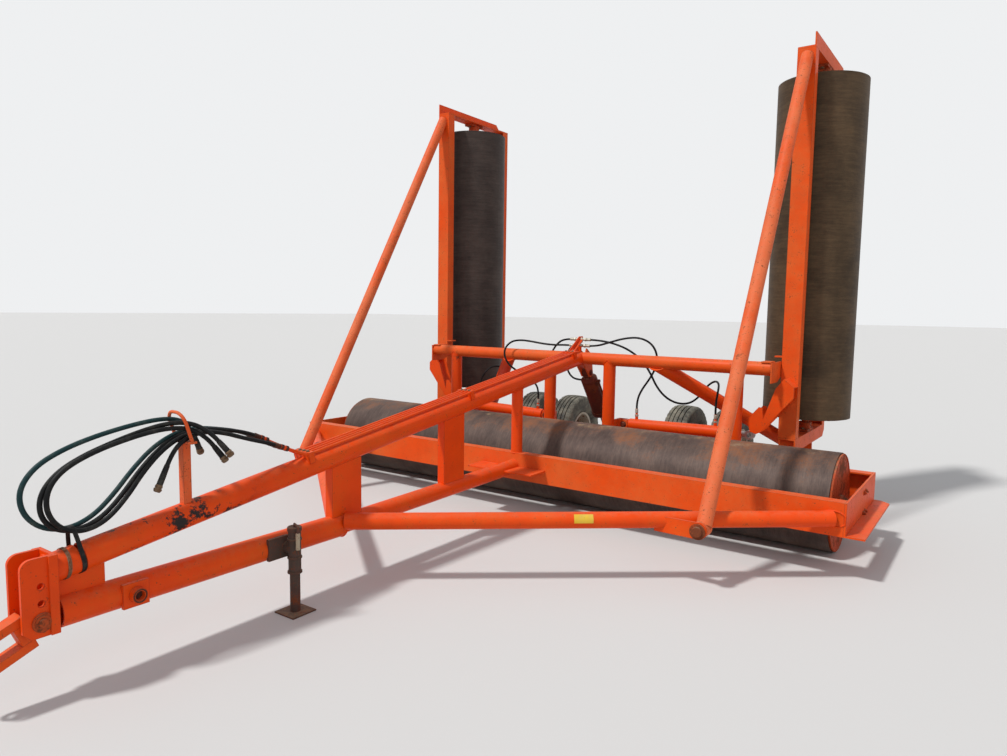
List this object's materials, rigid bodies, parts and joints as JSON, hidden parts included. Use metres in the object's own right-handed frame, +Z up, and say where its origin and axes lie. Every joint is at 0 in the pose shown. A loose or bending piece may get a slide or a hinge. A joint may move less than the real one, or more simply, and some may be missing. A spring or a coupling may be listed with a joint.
{
  "type": "folding land roller",
  "caption": "Towed land roller with a wide centre drum, wing drums folded upright on hinged frames, rear transport wheels, a truss drawbar and a parking jack.",
  "frame": {"origin": "on the ground under the middle of the whole machine as it parks, wings folded up", "axes": "+Z up, the hitch points along -Y, the centre drum lies along X"},
  "size_m": [5.65, 6.863, 4.139],
  "materials": {
    "frame_paint": "sun-faded orange enamel with rust specks",
    "bearing_paint": "painted cast housing",
    "drum_steel": "rusted and soil-stained bare steel",
    "tyre_rubber": "dusty black rubber",
    "rim_paint": "dusty pale enamel",
    "rod_chrome": "hard chrome",
    "jack_paint": "worn black enamel",
    "link_iron": "painted casting worn to brown",
    "hose_rubber": "matt black hose cover",
    "fitting_steel": "zinc plated"
  },
  "bodies": {
    "frame": {"a_frame": "frame_paint", "centre_bearings": "bearing_paint", "centre_end_plates": "frame_paint", "centre_front_beam": "frame_paint", "centre_rear_beam": "frame_paint", "cross_tube": "frame_paint", "frame_posts": "frame_paint", "front_hose_a": "hose_rubber", "front_hose_b": "hose_rubber", "front_hose_c": "hose_rubber", "front_hose_d": "hose_rubber", "hitch_head": "frame_paint", "hose_brackets": "frame_paint", "hose_couplers": "fitting_steel", "hydraulic_lines": "frame_paint", "jack_tube": "jack_paint", "lift_hose": "hose_rubber", "rear_braces": "frame_paint", "rear_hose_far_l": "hose_rubber", "rear_hose_far_r": "hose_rubber", "rear_hose_near_l": "hose_rubber", "rear_hose_near_r": "hose_rubber", "tongue_lower": "frame_paint", "tongue_upper": "frame_paint", "truss_brackets": "frame_paint"},
    "wing_r": {"fold_lever_r": "frame_paint", "wing_bearings_r": "bearing_paint", "wing_front_beam_r": "frame_paint", "wing_inner_end_r": "frame_paint", "wing_outer_end_r": "frame_paint", "wing_rear_beam_r": "frame_paint", "wing_strut_r": "frame_paint"},
    "wing_drum_r": {"wing_drum_r": "drum_steel", "wing_drum_ends_r": "frame_paint"},
    "fold_barrel_r": {"fold_barrel_r": "frame_paint"},
    "fold_rod_r": {"fold_rod_r": "rod_chrome"},
    "wheels_r": {"tyres_r": "tyre_rubber", "rims_r": "rim_paint"},
    "wing_l": {"fold_lever_l": "frame_paint", "wing_bearings_l": "bearing_paint", "wing_front_beam_l": "frame_paint", "wing_inner_end_l": "frame_paint", "wing_outer_end_l": "frame_paint", "wing_rear_beam_l": "frame_paint", "wing_strut_l": "frame_paint"},
    "wing_drum_l": {"wing_drum_l": "drum_steel", "wing_drum_ends_l": "frame_paint"},
    "fold_barrel_l": {"fold_barrel_l": "frame_paint"},
    "fold_rod_l": {"fold_rod_l": "rod_chrome"},
    "wheels_l": {"tyres_l": "tyre_rubber", "rims_l": "rim_paint"},
    "centre_drum": {"centre_drum": "drum_steel", "centre_drum_ends": "frame_paint"},
    "transport": {"transport_arms": "frame_paint", "transport_tubes": "frame_paint"},
    "lift_barrel": {"lift_barrel": "frame_paint"},
    "lift_rod": {"lift_rod": "rod_chrome"},
    "hitch_link": {"hitch_link": "link_iron"},
    "jack_leg": {"jack_leg": "jack_paint"}
  },
  "joints": [
    {"name": "centre_drum_spin", "type": "hinge", "parent": "frame", "child": "centre_drum", "pos_m": [0, 1.44152, 0.381], "axis": [1, 0, 0], "continuous": true},
    {"name": "wing_fold_r", "type": "hinge", "parent": "frame", "child": "wing_r", "pos_m": [1.96, 1.44152, 0.406], "axis": [0, 1, 0], "range_deg": [0, 90]},
    {"name": "wing_drum_spin_r", "type": "hinge", "parent": "wing_r", "child": "wing_drum_r", "pos_m": [1.985, 2.68853, 2], "axis": [0, 0, 1], "continuous": true},
    {"name": "fold_barrel_tilt_r", "type": "hinge", "parent": "frame", "child": "fold_barrel_r", "pos_m": [0.453, 2.03152, 0.7], "axis": [0, 1, 0], "range_deg": [0, 1.3]},
    {"name": "fold_rod_slide_r", "type": "slide", "parent": "fold_barrel_r", "child": "fold_rod_r", "axis": [0.9998, 0, 0.0205], "range_m": [0, 0.60875]},
    {"name": "wheels_spin_r", "type": "hinge", "parent": "transport", "child": "wheels_r", "pos_m": [0.94, 3.03153, 0.4], "axis": [1, 0, 0], "continuous": true},
    {"name": "wing_fold_l", "type": "hinge", "parent": "frame", "child": "wing_l", "pos_m": [-1.96, 1.44152, 0.406], "axis": [0, -1, 0], "range_deg": [0, 90]},
    {"name": "wing_drum_spin_l", "type": "hinge", "parent": "wing_l", "child": "wing_drum_l", "pos_m": [-1.985, 2.68853, 2], "axis": [0, 0, 1], "continuous": true},
    {"name": "fold_barrel_tilt_l", "type": "hinge", "parent": "frame", "child": "fold_barrel_l", "pos_m": [-0.453, 2.03152, 0.7], "axis": [0, -1, 0], "range_deg": [0, 1.3]},
    {"name": "fold_rod_slide_l", "type": "slide", "parent": "fold_barrel_l", "child": "fold_rod_l", "axis": [-0.9998, 0, 0.0205], "range_m": [0, 0.60875]},
    {"name": "wheels_spin_l", "type": "hinge", "parent": "transport", "child": "wheels_l", "pos_m": [-0.94, 3.03153, 0.4], "axis": [1, 0, 0], "continuous": true},
    {"name": "wheel_lift", "type": "hinge", "parent": "frame", "child": "transport", "pos_m": [0, 2.04153, 0.43], "axis": [1, 0, 0], "range_deg": [-8, 20]},
    {"name": "lift_barrel_tilt", "type": "hinge", "parent": "frame", "child": "lift_barrel", "pos_m": [0, 2.04153, 1.18], "axis": [1, 0, 0], "range_deg": [-3.5, 7]},
    {"name": "lift_rod_slide", "type": "slide", "parent": "lift_barrel", "child": "lift_rod", "axis": [0, 0.6097, -0.7926], "range_m": [-0.2, 0.09]},
    {"name": "hitch_link_swing", "type": "hinge", "parent": "frame", "child": "hitch_link", "pos_m": [0, -3.09247, 0.388], "axis": [-1, 0, 0], "range_deg": [0, 45]},
    {"name": "jack_raise", "type": "slide", "parent": "frame", "child": "jack_leg", "axis": [0, 0, 1], "range_m": [0, 0.135]}
  ],
  "couplings": [
    {"joint": "fold_barrel_tilt_r", "follows": "wing_fold_r", "ratio": 0.01447},
    {"joint": "fold_rod_slide_r", "follows": "wing_fold_r", "m_per_rad": 0.38754},
    {"joint": "fold_barrel_tilt_l", "follows": "wing_fold_l", "ratio": 0.01447},
    {"joint": "fold_rod_slide_l", "follows": "wing_fold_l", "m_per_rad": 0.38754},
    {"joint": "lift_barrel_tilt", "follows": "wheel_lift", "ratio": 0.2546},
    {"joint": "lift_rod_slide", "follows": "wheel_lift", "m_per_rad": -0.4635}
  ]
}
